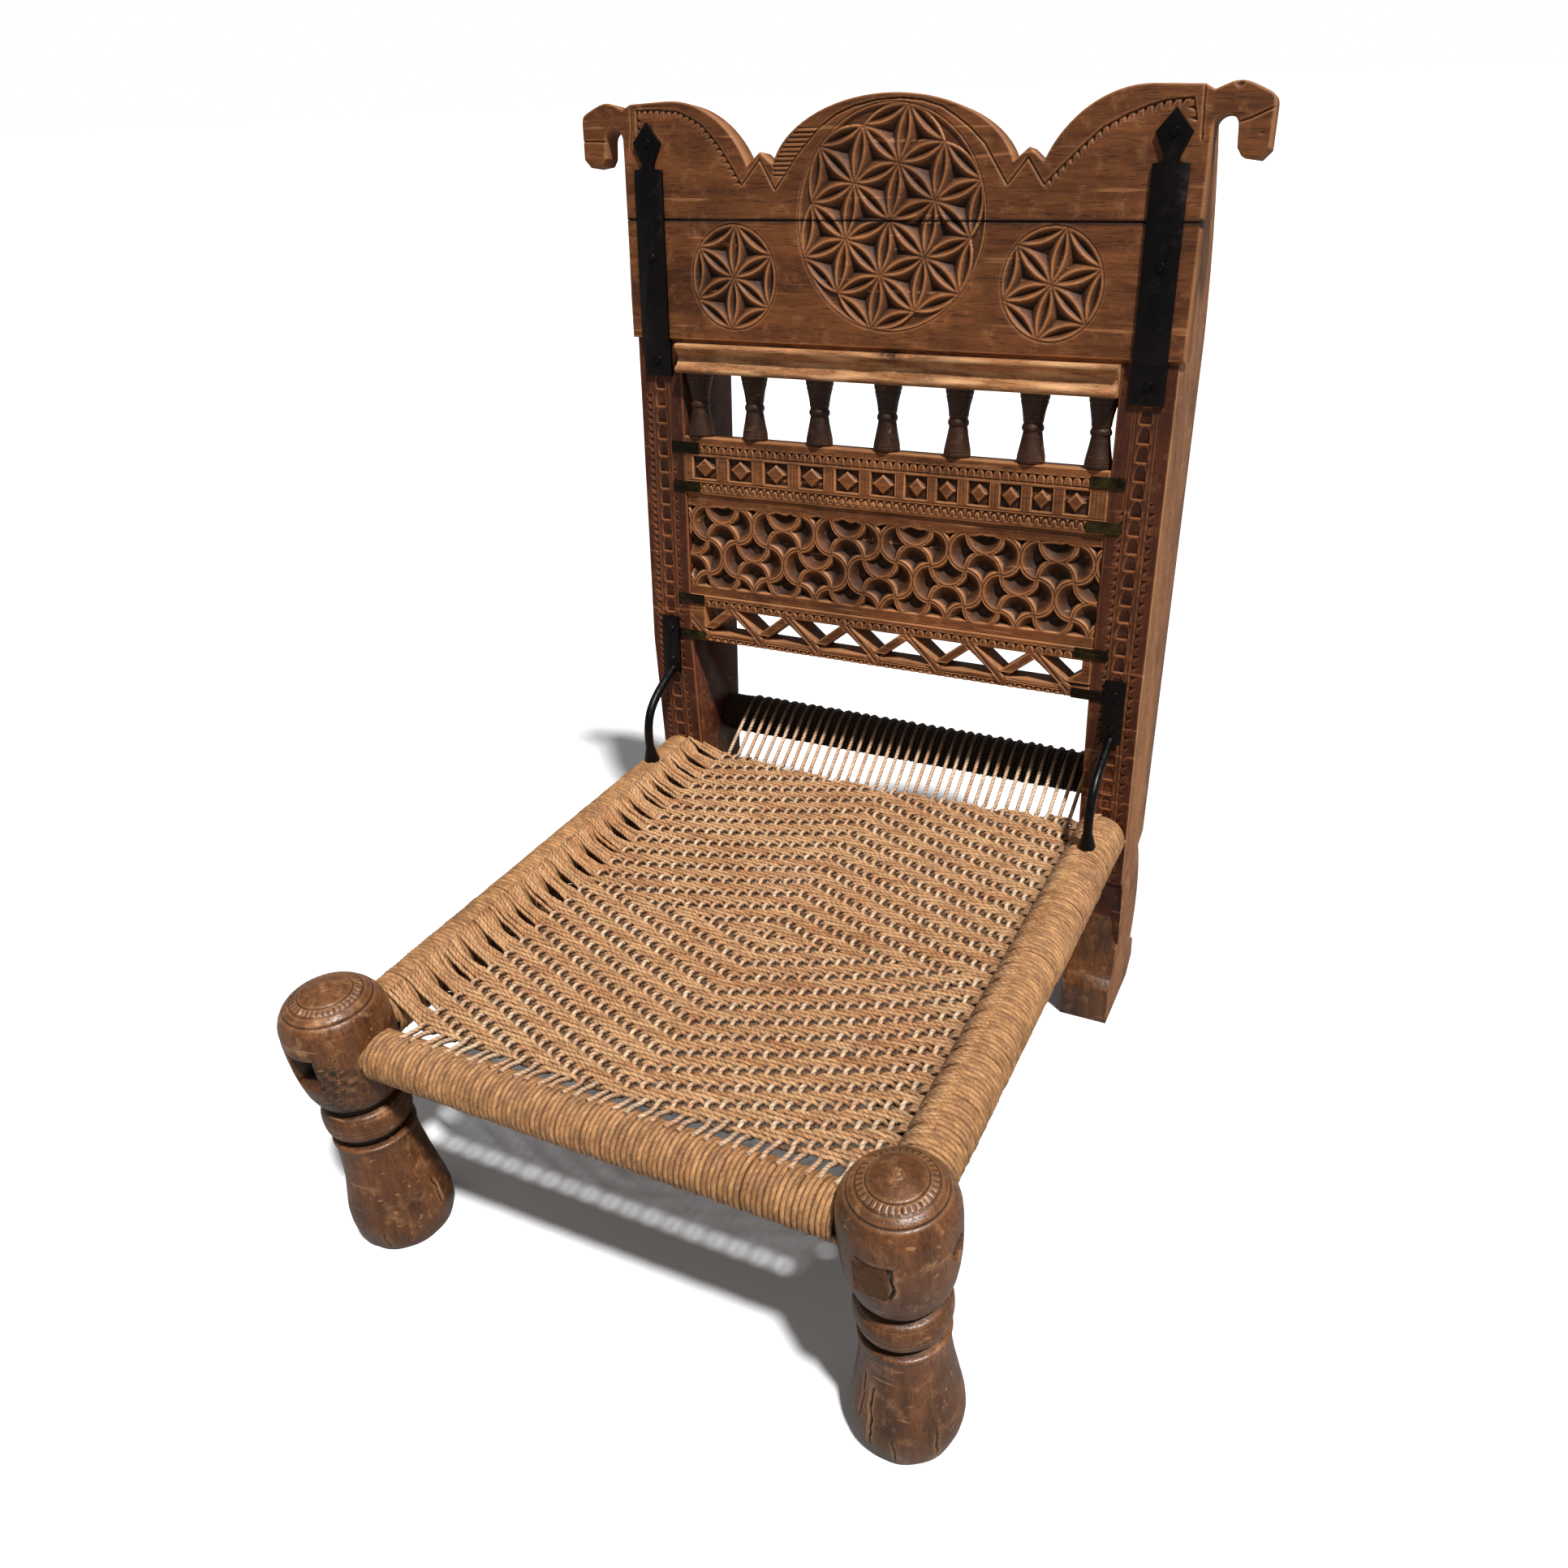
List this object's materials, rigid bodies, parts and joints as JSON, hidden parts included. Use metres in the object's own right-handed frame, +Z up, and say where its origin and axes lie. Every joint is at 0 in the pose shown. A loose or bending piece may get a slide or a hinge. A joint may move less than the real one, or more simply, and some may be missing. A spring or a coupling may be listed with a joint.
{
  "type": "low chair",
  "caption": "Low wooden hill chair with a leaning carved plank back, turned front legs, horse-head crest ends, iron straps and arms, and a seat woven from twisted twine.",
  "frame": {"origin": "on the floor, under the middle of the chair's bounding box", "axes": "+Z up, the sitter faces -Y, +X is to the right of someone who looks at the front of the chair"},
  "size_m": [0.641, 0.7191, 0.8577],
  "materials": {
    "carved_wood": "hand-carved hardwood, oiled and worn, warm reddish brown",
    "leg_wood": "hewn and turned hardwood, dark, dull polish from handling",
    "moulding_wood": "paler softwood, worn and greasy from hands",
    "spindle_wood": "turned hardwood, dark brown, satin",
    "rail_wood": "rough pole, hidden under the twine",
    "twine": "two-ply twisted plant fibre, golden tan, dry",
    "iron": "forged iron, near black, slight sheen",
    "brass": "thin sheet brass, dark greenish patina"
  },
  "bodies": {
    "root": {"stile_left": "carved_wood", "stile_right": "carved_wood", "crest_board": "carved_wood", "rosette_board": "carved_wood", "diamond_rail": "carved_wood", "lattice_rail": "carved_wood", "crescent_panel": "carved_wood", "leg_front_left": "leg_wood", "leg_front_right": "leg_wood", "leg_pegs": "leg_wood", "moulding_rail": "moulding_wood", "spindle_1": "spindle_wood", "spindle_2": "spindle_wood", "spindle_3": "spindle_wood", "spindle_4": "spindle_wood", "spindle_5": "spindle_wood", "spindle_6": "spindle_wood", "spindle_7": "spindle_wood", "rail_left": "rail_wood", "rail_right": "rail_wood", "rail_front": "rail_wood", "rail_back": "rail_wood", "twine_rail_left": "twine", "twine_rail_right": "twine", "twine_rail_front": "twine", "twine_rail_back": "twine", "seat_weave": "twine", "rear_warps": "twine", "strap_left": "iron", "strap_right": "iron", "arm_left": "iron", "arm_right": "iron", "strap_nails": "iron", "arm_nails": "iron", "clip_left_1": "brass", "clip_left_2": "brass", "clip_left_3": "brass", "clip_left_4": "brass", "clip_right_1": "brass", "clip_right_2": "brass", "clip_right_3": "brass", "clip_right_4": "brass", "clip_nails": "brass"}
  },
  "joints": []
}
